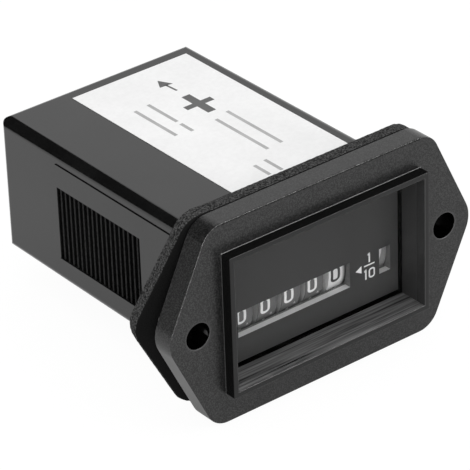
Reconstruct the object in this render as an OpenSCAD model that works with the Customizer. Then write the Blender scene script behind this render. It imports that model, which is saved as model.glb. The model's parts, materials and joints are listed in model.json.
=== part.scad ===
// Rectangular panel hour meter: a bezel with a two-hole flange and a foam gasket, a closed case that
// stands behind the panel, and inside it a geared wheel counter driven by a small stepping motor.
// X points right seen from the front, Y into the panel, Z up. The origin is the centre of the
// flange's rear face, which bears on the panel. All sizes are in millimetres.

/* [Flange] */
// Spacing of the two screw holes
screw_spacing = 46; // [44:0.5:50]
// Diameter of each screw hole
screw_hole_d = 4.1; // [3.2:0.1:4.6]
// Radius of the flange's tip round each hole
tip_r = 4.9; // [4:0.1:6]
// Height of the flange
flange_h = 32.8; // [30:0.2:38]
// Length of the straight top and bottom edges
flange_flat = 36.4; // [32:0.2:38]
// Radius of the four upper and lower corners
flange_corner_r = 3.8; // [2:0.1:5]
// Thickness of the flange
flange_t = 3.6; // [2.8:0.1:5]

/* [Window] */
// Cover of the bezel over the case's left and right edges
lens_lip_x = 0.42; // [0.4:0.01:1]
// Cover of the bezel over the case's upper and lower edges, which also holds the lens
lens_lip_z = 0.75; // [0.6:0.05:1.5]
// Wall of the raised rim round the window
rim_wall = 0.86; // [0.7:0.02:1.5]
// Height of the rim above the flange
rim_proud = 1.9; // [1:0.1:3]
// Thickness of the lens
lens_t = 0.9; // [0.7:0.05:1]
// Thickness of the dial plate
dial_t = 0.6; // [0.5:0.05:0.8]
// Bare gap between the dial plate and the case's mouth at the top and bottom
dial_room = 0.5; // [0.2:0.05:0.6]

/* [Case] */
// Width of the case
case_w = 36; // [35.5:0.1:38]
// Height of the case
case_h = 22.9; // [22:0.1:25]
// Depth of the case behind the flange
case_l = 50.6; // [47:0.2:60]
// Side, top and bottom wall
case_wall = 1.5; // [1.3:0.05:1.7]
// Rear wall
rear_wall = 1.8; // [1.4:0.1:2.4]
// Radius of the long and rear edges
case_edge_r = 1.5; // [0.8:0.1:1.5]
// Wall left round the lens and the dial plate at the case's mouth
mouth_lip = 0.3; // [0.28:0.01:0.36]
// Depth by which the case's mouth enters the bezel
case_entry = 0.35; // [0.2:0.05:0.5]

/* [Side slots] */
// Number of slots on each side
slot_count = 19; // [10:1:22]
// Spacing of the slots
slot_pitch = 1.09; // [0.95:0.01:1.2]
// Width of a slot
slot_w = 0.76; // [0.4:0.02:0.86]
// Height of a slot
slot_h = 12.3; // [8:0.1:15]
// Depth of a slot below the ridges between the slots
slot_depth = 0.65; // [0.3:0.05:0.8]
// Depth of the pocket that holds the slots
pocket_depth = 0.25; // [0.2:0.05:0.4]
// Start of the first slot behind the flange
slot_start = 15.9; // [8:0.1:18]
// Middle height of the slots
slot_mid_z = -0.8; // [-2:0.05:2]
// Rise of the side panel that holds the slots above the case's side
panel_out = 0.18; // [0.1:0.02:0.24]
// Height of that panel from its lower to its upper edge
panel_h = 18.26; // [16:0.1:20]
// Start of that panel behind the flange
panel_start = 1; // [0.5:0.5:8]

/* [Gasket] */
// Thickness of the foam
gasket_t = 2.2; // [1:0.1:3]
// Diameter of its screw holes
gasket_hole_d = 4.8; // [4.6:0.1:6]
// Height at the middle of the slanting line below which the foam has curled away from the flange
bend_z = 5; // [2:0.5:6]
// Slope of that line, down to the right
bend_slope = 20; // [12:1:22]
// Angle by which the foam curls back
bend_angle = 10.5; // [2:0.5:12]

/* [Label] */
// Width of the label
label_w = 21.8; // [10:0.2:23]
// Middle of the label to the right of the case's middle
label_x = 4.4; // [-4:0.1:5]
// Front edge of the label behind the flange
label_start = 4; // [3.5:0.1:20]
// Bare case behind the label
label_rear = 3.2; // [2:0.1:10]
// Thickness of the label
label_t = 0.1; // [0.05:0.01:0.3]

/* [Counter] */
// Diameter of the number wheels
wheel_d = 11.4; // [10.8:0.1:11.8]
// Gap between neighbouring rims, which holds the carry gears
carry_room = 1.04; // [1.02:0.01:1.3]
// Thickness of the run drum's wall
drum_wall = 0.6; // [0.5:0.05:0.7]
// Diameter of the fixed wheel shaft
wheel_shaft_d = 1.5; // [1.2:0.1:1.8]
// Diameter of the fixed pinion shaft
pinion_shaft_d = 0.9; // [0.7:0.05:1]
// Module of the carry gears
carry_module = 0.45; // [0.44:0.005:0.47]
// Height of the dial's windows
window_h = 4.21; // [3.2:0.01:5]
// Middle of the windows below the wheel shaft
window_drop = 0.62; // [0:0.02:0.8]
// Wheels stand this far behind the dial
dial_gap = 0.4; // [0.2:0.05:1]
// Wheels stand this far above the case's floor
floor_gap = 0.45; // [0.2:0.05:1]
// Middle of the highest wheel from the frame's left cheek
first_wheel = 3.85; // [2.8:0.05:4]
// Middle of the lowest wheel from the case's right wall, room for the gears and the run drum
train_room = 9.71; // [9:0.01:11]

/* [Drive train] */
// Module of the drive gears
train_module = 0.25; // [0.24:0.005:0.26]
// Face width of the drive gears
train_face = 0.75; // [0.5:0.05:0.8]
// Direction of arbor B from the wheel shaft
arbor_b_angle = 20; // [10:1:30]
// Direction of arbor A from arbor B
arbor_a_angle = 30; // [10:1:40]
// Direction of the rotor from arbor A
rotor_angle = -25; // [-40:1:0]
// Diameter of the rotor magnet
rotor_d = 4.4; // [3.6:0.1:4.8]
// Thickness of the frame's cheeks
cheek_t = 0.9; // [0.7:0.05:1.1]

/* [Circuit] */
// Thickness of the circuit board
board_t = 1.2; // [0.8:0.1:1.6]
// Height of the posts that hold the board off the rear wall
board_post_h = 2.2; // [1.5:0.1:4]

/* [Terminals] */
// Spacing of the two blade terminals
blade_spacing = 14; // [12:0.5:18]
// Width of a blade
blade_w = 6.35; // [4.8:0.05:6.35]
// Thickness of a blade
blade_t = 0.8; // [0.5:0.05:1]
// Length of a blade behind the case
blade_l = 8.1; // [6:0.1:10]

/* [Fits] */
// Radial running clearance of turning pieces
running_gap = 0.04; // [0.02:0.01:0.08]
// Clearance between pieces that are fixed in one another
fit_gap = 0.05; // [0.02:0.01:0.1]
// Clearance of the case in the bezel's socket, and of the dial in the case's mouth
seat_gap = 0.1; // [0.05:0.01:0.2]
// Side clearance between turning pieces
side_gap = 0.12; // [0.08:0.01:0.14]
// Clearance of the gasket round the case
gasket_gap = 0.3; // [0.3:0.05:0.5]
// Extra centre distance of meshing gears
mesh_gap = 0.05; // [0.03:0.01:0.08]

/* [Hidden] */
$fn = 48;
// Overrun of a cut past the face that it opens
cut = 1;

// Case and window, worked out from the outside inwards
cavity_w = case_w - 2 * case_wall;
cavity_h = case_h - 2 * case_wall;
cavity_rear = case_l - rear_wall;
socket_w = case_w + 2 * seat_gap;
socket_h = case_h + 2 * seat_gap;
opening_w = case_w - 2 * lens_lip_x;
opening_h = case_h - 2 * lens_lip_z;
case_front = -case_entry;
lens_rear = case_front + lens_t;
dial_rear = lens_rear + dial_t;
mouth_w = case_w - 2 * mouth_lip;
mouth_h = case_h - 2 * mouth_lip;
mouth_r = 0.8;
lens_w = mouth_w - 2 * seat_gap;
lens_h = mouth_h - 2 * seat_gap;
slot_end = slot_start + (slot_count - 1) * slot_pitch + slot_w;
label_end = case_l - label_rear;
window_in = [-0.155, 0.165];
run_window_in = [0.365, 0.12];

// Counter: wheels side by side on one shaft, highest value at the left
WHEELS = 5;
wheel_r = wheel_d / 2;
shaft_r = wheel_shaft_d / 2;
counter_axis = [dial_rear + dial_gap + wheel_r, -cavity_h / 2 + floor_gap + wheel_r];
left_cheek_gap = 0.9;
left_cheek_x = -cavity_w / 2 + left_cheek_gap;
wheel_pitch = (cavity_w - left_cheek_gap - cheek_t - first_wheel - train_room) / (WHEELS - 1);
wheel_rim_w = wheel_pitch - carry_room;
hub_r = 1.5;
hub_half = wheel_pitch / 2 - side_gap / 4;
web_t = 0.8;
function wheel_x(k) = left_cheek_x + cheek_t + first_wheel + (WHEELS - 1 - k) * wheel_pitch;

// Carry gears between the wheels
CARRY_TEETH = 20;
PINION_TEETH = 8;
carry_gear_w = 0.45;
carry_disc_w = 0.35;
carry_distance = (CARRY_TEETH + PINION_TEETH) * carry_module / 2 + mesh_gap;
pinion_axis = counter_axis + [0, carry_distance];
pinion_tip_r = PINION_TEETH * carry_module / 2 + carry_module;
carry_tooth_r = carry_distance - pinion_tip_r - side_gap;
carry_disc_r = carry_tooth_r - 0.5;
pinion_w = carry_room - 2 * side_gap;

// Drive train: tooth counts, layers along X and axes in the Y-Z plane
TENTHS_TEETH = 40;
B_PINION_TEETH = 16;
B_TEETH = 40;
A_PINION_TEETH = 8;
A_TEETH = 32;
ROTOR_TEETH = 8;
RUN_TEETH = 32;
DRUM_TEETH = TENTHS_TEETH + B_PINION_TEETH - RUN_TEETH;
layer_step = train_face + 2 * side_gap;
layer_start = wheel_x(0) + wheel_rim_w / 2 + side_gap;
right_cheek_x = layer_start + 3 * layer_step;
run_layer_x = right_cheek_x + cheek_t + 2 * side_gap;
drum_x = run_layer_x + train_face + side_gap;
drum_end = cavity_w / 2 - 2.5 * side_gap;
bridge_x = wheel_x(1) + wheel_rim_w / 2 + 2 * side_gap;
bridge_t = carry_room - 4 * side_gap;
bridge_front = counter_axis[0] + CARRY_TEETH * carry_module / 2 + 2 * carry_module;
function layer_x(i) = layer_start + i * layer_step;
function distance(n1, n2) = (n1 + n2) * train_module / 2 + mesh_gap;
function polar(r, a) = [r * cos(a), r * sin(a)];
function span(middle, half) = [middle - half, middle + half];
arbor_b_axis = counter_axis + polar(distance(TENTHS_TEETH, B_PINION_TEETH), arbor_b_angle);
arbor_a_axis = arbor_b_axis + polar(distance(B_TEETH, A_PINION_TEETH), arbor_a_angle);
rotor_axis = arbor_a_axis + polar(distance(A_TEETH, ROTOR_TEETH), rotor_angle);
arbor_r = 0.6;
pivot_r = 0.4;
run_arbor_r = 0.5;

// Phases that bring each gear into mesh with the one before it
function mesh_phase(phase, n1, direction, n2) =
    direction + 180 + ((direction - phase) * n1 / 360 - 0.5) * 360 / n2;
tenths_phase = mesh_phase(0, B_PINION_TEETH, arbor_b_angle + 180, TENTHS_TEETH);
drum_phase = mesh_phase(0, RUN_TEETH, arbor_b_angle + 180, DRUM_TEETH);
a_pinion_phase = mesh_phase(0, B_TEETH, arbor_a_angle, A_PINION_TEETH);
rotor_phase = mesh_phase(0, A_TEETH, rotor_angle, ROTOR_TEETH);
pinion_phase = mesh_phase(0, CARRY_TEETH, 90, PINION_TEETH);

// Motor: stator in a plane across X, coil at its open end beside the board
board_rear = cavity_rear - board_post_h;
board_front = board_rear - board_t;
board_margin = 1;
board_w = cavity_w - 2 * board_margin;
board_h = cavity_h - 2 * board_margin;
stator_t = 1.2;
stator_x = layer_x(0) - stator_t - 0.4;
pole_gap = 0.4;
yoke_wall = 1.1;
pillar_room = 4.3;
pole_r = rotor_d / 2 + pole_gap;
yoke_half = 7;
leg_w = 2;
core_w = 3;
coil_half = yoke_half - leg_w - 0.2;
coil_flange_r = 3;
coil_barrel_r = 2;
coil_wire_r = 2.7;
coil_flange_t = 0.6;
coil_axis = [stator_x + 1.5 * stator_t, board_front - coil_flange_r - 1.2];
post_r = 0.25;
pillar_r = 1.2;
spigot_r = 0.8;
screw_r = 0.4;
screw_grip = 3;
cheek_half = cavity_h / 2 - seat_gap;
cheek_r = 1;
pillar_z = cheek_half - 1.8;
frame_end = rotor_axis[0] + pole_r + yoke_wall + pillar_room;
PILLARS = [[frame_end - 2, pillar_z], [frame_end - 2, -pillar_z],
    [arbor_b_axis[0] + 4.2, -pillar_z]];
STATOR_PILLARS = [PILLARS[0], PILLARS[1]];
board_post = [board_w / 2 - 2, board_h / 2 - 1.8];
board_post_r = 1.6;
board_pin_r = 0.6;
board_pin_out = 0.6;
post_out = 0.5;
blade_shoulder = 1;
blade_front = 0.8;
blade_hole_r = 0.85;

// Tangent points of the straight edge between two circles [x, y, r] of an outline that runs
// anticlockwise
function tangent(a, b) =
    let (d = [b[0] - a[0], b[1] - a[1]], u = d / norm(d), s = (a[2] - b[2]) / norm(d),
        m = sqrt(1 - s * s) * [u[1], -u[0]] + s * u)
    [[a[0] + a[2] * m[0], a[1] + a[2] * m[1]], [b[0] + b[2] * m[0], b[1] + b[2] * m[1]]];
function outline(circles) =
    [for (i = [0 : len(circles) - 1]) each tangent(circles[i], circles[(i + 1) % len(circles)])];
function corner_circles(w, h, r) =
    [[w / 2 - r, -h / 2 + r, r], [w / 2 - r, h / 2 - r, r], [-w / 2 + r, h / 2 - r, r],
        [-w / 2 + r, -h / 2 + r, r]];

// A prism with true round corners, along local Z
module round_prism(circles, h) {
    linear_extrude(h) polygon(outline(circles));
    for (c = circles) translate([c[0], c[1], 0]) cylinder(r = c[2], h = h);
}
// Places a shape drawn in the X-Z plane so that it runs from y0 towards the rear
module along_y(y0, length) translate([0, y0 + length, 0]) rotate([90, 0, 0]) children();
// Places a shape drawn in the Y-Z plane so that it runs from x0 to the right
module along_x(x0, axis = [0, 0]) translate([x0, axis[0], axis[1]]) rotate([90, 0, 90]) children();
module box(x, y, z) translate([x[0], y[0], z[0]]) cube([x[1] - x[0], y[1] - y[0], z[1] - z[0]]);
// A box centred on X and Z
module slab(w, y, h) box([-w / 2, w / 2], y, [-h / 2, h / 2]);
module rod_y(x, z, r, y0, y1) along_y(y0, y1 - y0) translate([x, z, 0]) cylinder(r = r, h = y1 - y0);
module rod_x(axis, r, x0, x1) along_x(x0, axis) cylinder(r = r, h = x1 - x0);
module turned(x0, axis, profile) along_x(x0, axis) rotate_extrude() polygon(profile);

// Involute teeth with stub tips; thinner than half a pitch, which leaves the backlash
PRESSURE_ANGLE = 20;
TOOTH_SHARE = 0.84;
ADDENDUM = 0.75;
DEDENDUM = 1.05;
function involute(a) = tan(a) * 180 / PI - a;
function half_tooth(n, r, base, rho) =
    90 / n * TOOTH_SHARE + involute(PRESSURE_ANGLE) - involute(acos(base / max(rho, base)));
function gear_outline(n, m, phase, step = 1) =
    let (r = n * m / 2, base = r * cos(PRESSURE_ANGLE), root = r - DEDENDUM * m, tip = r + ADDENDUM * m,
        radii = [root, r - 0.3 * m, r + 0.3 * m, tip])
    [for (i = [0 : step : n - 1], side = [-1, 1], j = [0 : 3])
        let (rho = radii[side < 0 ? j : 3 - j])
        polar(rho, phase + i * 360 / n + side * half_tooth(n, r, base, rho))];
module gear(n, m, w, phase, step = 1) linear_extrude(w) polygon(gear_outline(n, m, phase, step));

// Outline of the flange and the gasket: round tips at the screw holes, tangent to four corners
flange_circles = let (x = flange_flat / 2, z = flange_h / 2 - flange_corner_r, r = flange_corner_r)
    [[screw_spacing / 2, 0, tip_r], [x, z, r], [-x, z, r], [-screw_spacing / 2, 0, tip_r],
        [-x, -z, r], [x, -z, r]];
module screw_holes(r, y0, y1)
    for (side = [-1, 1]) rod_y(side * screw_spacing / 2, 0, r, y0, y1);

module bezel() color([0.1, 0.1, 0.1]) difference() {
    rim_front = -flange_t - rim_proud;
    union() {
        along_y(-flange_t, flange_t) round_prism(flange_circles, flange_t);
        slab(opening_w + 2 * rim_wall, [rim_front, -flange_t / 2], opening_h + 2 * rim_wall);
    }
    slab(opening_w, [rim_front - cut, cut], opening_h);
    slab(socket_w, [case_front, cut], socket_h);
    screw_holes(screw_hole_d / 2, -flange_t - cut, cut);
}

// Clear plate in the case's mouth, held between the bezel and the dial plate
module lens() color([0.85, 0.9, 0.92, 0.3])
    along_y(case_front, lens_t) round_prism(corner_circles(lens_w, lens_h, mouth_r), lens_t);

// Windows of the dial: one over the wheels, one over the run drum
module dial_windows() {
    z = span(counter_axis[1] - window_drop, window_h / 2);
    y = [lens_rear - cut, dial_rear + cut];
    rim_half = wheel_rim_w / 2;
    box([wheel_x(WHEELS - 1) - rim_half + window_in[0], wheel_x(0) + rim_half - window_in[1]], y, z);
    box([drum_x + run_window_in[0], drum_end - run_window_in[1]], y, z);
}
module dial_plate() color([0.06, 0.06, 0.06]) difference() {
    slab(lens_w, [lens_rear, dial_rear], mouth_h - 2 * dial_room);
    dial_windows();
}

// Half of the foam sheet on one side of the bend line: 1 above it, -1 below
module gasket_half(side) intersection() {
    far = screw_spacing + 4 * tip_r;
    along_y(0, gasket_t) round_prism(flange_circles, gasket_t);
    translate([0, 0, bend_z]) rotate([0, bend_slope, 0])
        box([-far, far], [-cut, gasket_t + cut], side > 0 ? [0, far] : [-far, 0]);
}
// Foam sheet, flat on the flange above the bend line and turned back below it about its middle layer
module gasket() color([0.16, 0.16, 0.16]) difference() {
    reach = gasket_t + flange_h * tan(bend_angle) + 2 * cut;
    pivot = [0, gasket_t / 2, bend_z];
    union() {
        gasket_half(1);
        translate(pivot) rotate(bend_angle, [cos(bend_slope), 0, -sin(bend_slope)])
            translate(-pivot) gasket_half(-1);
    }
    slab(case_w + 2 * gasket_gap, [-cut, reach], case_h + 2 * gasket_gap);
    screw_holes(gasket_hole_d / 2, -cut, reach);
}

// Closed box with rounded long and rear edges
module case_solid() intersection() {
    front = case_front - 2 * case_edge_r;
    length = case_l - case_front;
    along_y(case_front, length) round_prism(corner_circles(case_w, case_h, case_edge_r), length);
    reach = case_l - front;
    translate([0, (front + case_l) / 2, -case_h / 2])
        round_prism(corner_circles(case_w, reach, case_edge_r), case_h);
    along_x(-case_w / 2, [(front + case_l) / 2, 0])
        round_prism(corner_circles(reach, case_h, case_edge_r), case_w);
}
// Raised panel on each side, and in it a pocket crossed by deeper slots
panel_x = case_w / 2 + panel_out;
module side_panels() for (side = [0, 1]) mirror([side, 0, 0])
    box([case_w / 2 - panel_out, panel_x], [panel_start, slot_end], [-panel_h / 2, panel_h / 2]);
module side_slots() for (side = [0, 1]) mirror([side, 0, 0]) {
    z = span(slot_mid_z, slot_h / 2);
    floor_x = panel_x - pocket_depth;
    box([floor_x, case_w], [slot_start, slot_end], z);
    for (i = [0 : slot_count - 1]) {
        y = slot_start + i * slot_pitch;
        box([floor_x - slot_depth, case_w], [y, y + slot_w], z);
    }
}
module case() color([0.09, 0.09, 0.09]) {
    mouth_depth = cut + lens_t + dial_t;
    difference() {
        union() {
            case_solid();
            side_panels();
        }
        slab(cavity_w, [case_front - cut, cavity_rear], cavity_h);
        along_y(case_front - cut, mouth_depth)
            round_prism(corner_circles(mouth_w, mouth_h, mouth_r), mouth_depth);
        side_slots();
        for (side = [-1, 1]) translate([side * blade_spacing / 2, 0, 0])
            slab(blade_t + 2 * fit_gap, [cavity_rear - cut, case_l + cut], blade_w + 2 * fit_gap);
    }
    for (sx = [-1, 1], sz = [-1, 1]) {
        rod_y(sx * board_post[0], sz * board_post[1], board_post_r, board_rear, cavity_rear);
        rod_y(sx * board_post[0], sz * board_post[1], board_pin_r, board_front - board_pin_out,
            cavity_rear);
    }
}

module rating_label() color([0.95, 0.95, 0.95])
    box([label_x - label_w / 2, label_x + label_w / 2], [label_start, label_end],
        [case_h / 2, case_h / 2 + label_t]);

// Moulded frame: two cheeks carry the shafts, a top web and a back web join them, and pillars on the
// right cheek carry the stator and the bridge plate
module cheek_plate(x, y, r) along_x(x, [(y[0] + y[1]) / 2, 0])
    round_prism(corner_circles(y[1] - y[0], 2 * cheek_half, r), cheek_t);
module counter_frame() color([0.75, 0.72, 0.65]) {
    web_rear = counter_axis[0] + wheel_r + 1.2;
    web_wall = 1;
    first_hub = wheel_x(WHEELS - 1) - hub_half;
    last_hub = layer_start + train_face + side_gap;
    difference() {
        union() {
            cheek_plate(left_cheek_x, [dial_rear, web_rear], cheek_r);
            cheek_plate(right_cheek_x, [dial_rear, frame_end], cheek_r);
            box([left_cheek_x, right_cheek_x + cheek_t], [dial_rear + cheek_r, bridge_front - side_gap],
                [cheek_half - web_wall, cheek_half]);
            box([left_cheek_x, bridge_x - side_gap], [dial_rear + cheek_r, web_rear],
                [cheek_half - web_wall, cheek_half]);
            box([left_cheek_x, bridge_x - side_gap], [web_rear - web_wall, web_rear],
                [-cheek_half + cheek_r, cheek_half]);
            rod_x(counter_axis, hub_r, left_cheek_x, first_hub - side_gap);
            rod_x(counter_axis, hub_r, last_hub, right_cheek_x + cheek_t);
            for (p = PILLARS) {
                stator_side = p == PILLARS[2] ? bridge_x + bridge_t : stator_x + stator_t;
                rod_x(p, pillar_r, stator_side, right_cheek_x + cheek_t / 2);
                rod_x(p, spigot_r, bridge_x + bridge_t, right_cheek_x + cheek_t / 2);
            }
        }
        rod_x(counter_axis, shaft_r + fit_gap, left_cheek_x - cut, right_cheek_x + 2 * cut);
        rod_x(pinion_axis, pinion_shaft_d / 2 + fit_gap, left_cheek_x - cut, right_cheek_x + 2 * cut);
        rod_x(arbor_b_axis, run_arbor_r + running_gap, right_cheek_x - cut, right_cheek_x + 2 * cut);
        for (a = [arbor_a_axis, rotor_axis])
            rod_x(a, pivot_r + running_gap, right_cheek_x - cut, right_cheek_x + 2 * cut);
        for (p = PILLARS) rod_x(p, screw_r + fit_gap, bridge_x, right_cheek_x - cheek_t);
    }
}

module bridge_plate() color([0.78, 0.68, 0.38]) difference() {
    along_x(bridge_x, [(bridge_front + frame_end) / 2, 0])
        round_prism(corner_circles(frame_end - bridge_front, 2 * cheek_half, cheek_r), bridge_t);
    for (a = [arbor_a_axis, arbor_b_axis, rotor_axis])
        rod_x(a, pivot_r + running_gap, bridge_x - cut, bridge_x + bridge_t + cut);
    for (p = PILLARS) rod_x(p, screw_r + fit_gap, bridge_x - cut, bridge_x + bridge_t + cut);
}
module bridge_screws() color([0.7, 0.7, 0.72]) for (p = PILLARS) difference() {
    head_t = 0.6;
    head_r = 0.9;
    drive_w = 0.24;
    union() {
        rod_x(p, head_r, bridge_x - head_t, bridge_x);
        rod_x(p, screw_r, bridge_x - head_t / 2, bridge_x + bridge_t + screw_grip);
    }
    box([bridge_x - head_t - cut, bridge_x - head_t / 2], span(p[0], drive_w / 2), span(p[1], cut));
}

shaft_end = drum_end - 0.8;
clip_t = 0.4;
clip_wall = 0.6;
clip_x = shaft_end - clip_t - 0.3;
module wheel_shaft() color([0.7, 0.7, 0.72]) rod_x(counter_axis, shaft_r, left_cheek_x, shaft_end);
module shaft_clip() color([0.3, 0.3, 0.32]) difference() {
    rod_x(counter_axis, shaft_r + clip_wall, clip_x, clip_x + clip_t);
    rod_x(counter_axis, shaft_r + fit_gap / 5, clip_x - cut, clip_x + cut);
}
module pinion_shaft() color([0.7, 0.7, 0.72])
    rod_x(pinion_axis, pinion_shaft_d / 2, left_cheek_x, right_cheek_x + cheek_t);

// One moulded wheel: a solid rim on a hub, a full gear at the right of each wheel that is driven and a
// two-tooth carry disc at the left of each wheel that drives the next
module number_wheel(k, body) color(body) {
    half = wheel_rim_w / 2;
    difference() {
        union() {
            turned(wheel_x(k), counter_axis, [[shaft_r / 2, -hub_half], [hub_r, -hub_half],
                [hub_r, -half], [wheel_r, -half], [wheel_r, half], [hub_r, half], [hub_r, hub_half],
                [shaft_r / 2, hub_half]]);
            if (k > 0) along_x(wheel_x(k) + half, counter_axis)
                gear(CARRY_TEETH, carry_module, carry_gear_w, 0);
            else along_x(wheel_x(k) + half, counter_axis)
                gear(TENTHS_TEETH, train_module, side_gap + train_face, tenths_phase);
            if (k < WHEELS - 1) carry_disc(wheel_x(k) - half - carry_disc_w);
        }
        rod_x(counter_axis, shaft_r + running_gap, wheel_x(k) - wheel_pitch, wheel_x(k) + wheel_pitch);
    }
}
module carry_disc(x) {
    tooth = 0.7;
    rod_x(counter_axis, carry_disc_r, x, x + carry_disc_w);
    half_pitch = 180 / CARRY_TEETH;
    for (a = [-half_pitch, half_pitch]) along_x(x, counter_axis) rotate(a)
        translate([carry_disc_r / 2, -tooth / 2, 0])
            cube([carry_tooth_r - carry_disc_r / 2, tooth, carry_disc_w]);
}
dark = [0.1, 0.1, 0.1];
module number_wheel_tenths() number_wheel(0, [0.92, 0.92, 0.92]);
module number_wheel_units() number_wheel(1, dark);
module number_wheel_tens() number_wheel(2, dark);
module number_wheel_hundreds() number_wheel(3, dark);
module number_wheel_thousands() number_wheel(4, dark);

// Pinion k turns wheel k: all its teeth stand on the driven side, every second one on the other
module transfer_pinion(k) color([0.9, 0.88, 0.8]) difference() {
    x = wheel_x(k) + wheel_rim_w / 2 + side_gap;
    full_w = pinion_w - carry_disc_w;
    along_x(x, pinion_axis) union() {
        gear(PINION_TEETH, carry_module, full_w, pinion_phase);
        gear(PINION_TEETH, carry_module, pinion_w, pinion_phase, 2);
    }
    rod_x(pinion_axis, pinion_shaft_d / 2 + running_gap, x - cut, x + pinion_w + cut);
}
module transfer_pinion_1() transfer_pinion(1);
module transfer_pinion_2() transfer_pinion(2);
module transfer_pinion_3() transfer_pinion(3);
module transfer_pinion_4() transfer_pinion(4);

module run_drum() color([0.9, 0.9, 0.9]) difference() {
    rim_in = wheel_r - drum_wall;
    hub_end = clip_x - side_gap;
    union() {
        turned(0, counter_axis, [[shaft_r / 2, run_layer_x], [hub_r, run_layer_x], [hub_r, drum_x],
            [wheel_r, drum_x], [wheel_r, drum_end], [rim_in, drum_end], [rim_in, drum_x + web_t],
            [hub_r, drum_x + web_t], [hub_r, hub_end], [shaft_r / 2, hub_end]]);
        along_x(run_layer_x, counter_axis) gear(DRUM_TEETH, train_module, train_face, drum_phase);
    }
    rod_x(counter_axis, shaft_r + running_gap, run_layer_x - cut, drum_end + cut);
}

// Arbors between the bridge plate and the right cheek, each with its pinion cut in one piece
plate_left = bridge_x + bridge_t + side_gap;
plate_right = right_cheek_x - side_gap;
module arbor(axis, right_r, right_end) {
    rod_x(axis, arbor_r, plate_left, plate_right);
    rod_x(axis, pivot_r, bridge_x + side_gap, plate_left + cut);
    rod_x(axis, right_r, plate_right - cut, right_end);
}
blind_end = right_cheek_x + cheek_t - side_gap;
module arbor_b() color([0.7, 0.7, 0.72]) {
    arbor(arbor_b_axis, run_arbor_r, run_layer_x + train_face + side_gap);
    along_x(layer_x(0), arbor_b_axis) gear(B_PINION_TEETH, train_module, train_face, 0);
}
module arbor_a() color([0.7, 0.7, 0.72]) {
    arbor(arbor_a_axis, pivot_r, blind_end);
    along_x(layer_x(1), arbor_a_axis) gear(A_PINION_TEETH, train_module, train_face, a_pinion_phase);
}
module rotor_spindle() color([0.7, 0.7, 0.72]) {
    arbor(rotor_axis, pivot_r, blind_end);
    along_x(layer_x(2), rotor_axis) gear(ROTOR_TEETH, train_module, train_face, rotor_phase);
}
// A thin wheel pressed on an arbor, with round openings between its hub and its toothed rim
module train_gear(n, x, axis, bore_r) difference() {
    openings = 5;
    opening_r = n * train_module / 9;
    along_x(x, axis) gear(n, train_module, train_face, 0);
    rod_x(axis, bore_r + fit_gap / 5, x - cut, x + train_face + cut);
    for (i = [0 : openings - 1])
        rod_x(axis + polar(n * train_module * 0.28, i * 360 / openings), opening_r, x - cut,
            x + train_face + cut);
}
module gear_b() color([0.78, 0.68, 0.38]) train_gear(B_TEETH, layer_x(1), arbor_b_axis, arbor_r);
module gear_a() color([0.78, 0.68, 0.38]) train_gear(A_TEETH, layer_x(2), arbor_a_axis, arbor_r);
module run_gear() color([0.78, 0.68, 0.38])
    train_gear(RUN_TEETH, run_layer_x, arbor_b_axis, run_arbor_r);
rotor_overhang = 0.5;
module rotor_magnet() color([0.3, 0.3, 0.32]) difference() {
    x = [stator_x - rotor_overhang, stator_x + stator_t + rotor_overhang];
    rod_x(rotor_axis, rotor_d / 2, x[0], x[1]);
    rod_x(rotor_axis, arbor_r + fit_gap / 5, x[0] - cut, x[1] + cut);
}

// Stator plate: a yoke round the rotor and two legs that carry the coil's core
module stator() color([0.55, 0.56, 0.58]) difference() {
    mid_z = rotor_axis[1];
    yoke_half_y = pole_r + yoke_wall;
    leg_end = coil_axis[1] + core_w / 2;
    x = [stator_x, stator_x + stator_t];
    union() {
        box(x, span(rotor_axis[0], yoke_half_y), span(mid_z, yoke_half));
        for (side = [-1, 1])
            box(x, [rotor_axis[0], leg_end], span(mid_z + side * (yoke_half - leg_w / 2), leg_w / 2));
        for (p = STATOR_PILLARS) stator_ear(p, mid_z);
    }
    rod_x(rotor_axis, pole_r, x[0] - cut, x[1] + cut);
    for (p = STATOR_PILLARS) rod_x(p, spigot_r + fit_gap, x[0] - cut, x[1] + cut);
}
// Ear of the stator round a pillar
module stator_ear(p, mid_z) {
    ear = 1.6;
    inner = mid_z + sign(p[1]) * (yoke_half - leg_w);
    rod_x(p, ear, stator_x, stator_x + stator_t);
    box([stator_x, stator_x + stator_t], span(p[0], ear), [min(inner, p[1]), max(inner, p[1])]);
}
module coil_core() color([0.55, 0.56, 0.58])
    box([stator_x + stator_t, stator_x + 2 * stator_t], span(coil_axis[1], core_w / 2),
        span(rotor_axis[1], yoke_half));
module coil_rod(r, z0, z1) translate([coil_axis[0], coil_axis[1], rotor_axis[1] + z0])
    cylinder(r = r, h = z1 - z0);
module coil_bobbin() color([0.2, 0.3, 0.25]) difference() {
    union() {
        coil_rod(coil_barrel_r, -coil_half, coil_half);
        for (side = [-1, 1]) {
            edge = side * (coil_half - coil_flange_t / 2);
            coil_rod(coil_flange_r, edge - coil_flange_t / 2, edge + coil_flange_t / 2);
            rod_y(coil_axis[0], rotor_axis[1] + edge, post_r, coil_axis[1] + coil_barrel_r,
                board_rear + post_out);
        }
    }
    translate([coil_axis[0], coil_axis[1], rotor_axis[1]])
        cube([stator_t + 2 * fit_gap, core_w + 2 * fit_gap, 4 * coil_half], center = true);
}
module coil_winding() color([0.72, 0.35, 0.15]) difference() {
    inner = coil_half - coil_flange_t;
    coil_rod(coil_wire_r, -inner, inner);
    coil_rod(coil_barrel_r, -inner - cut, inner + cut);
}

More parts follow.
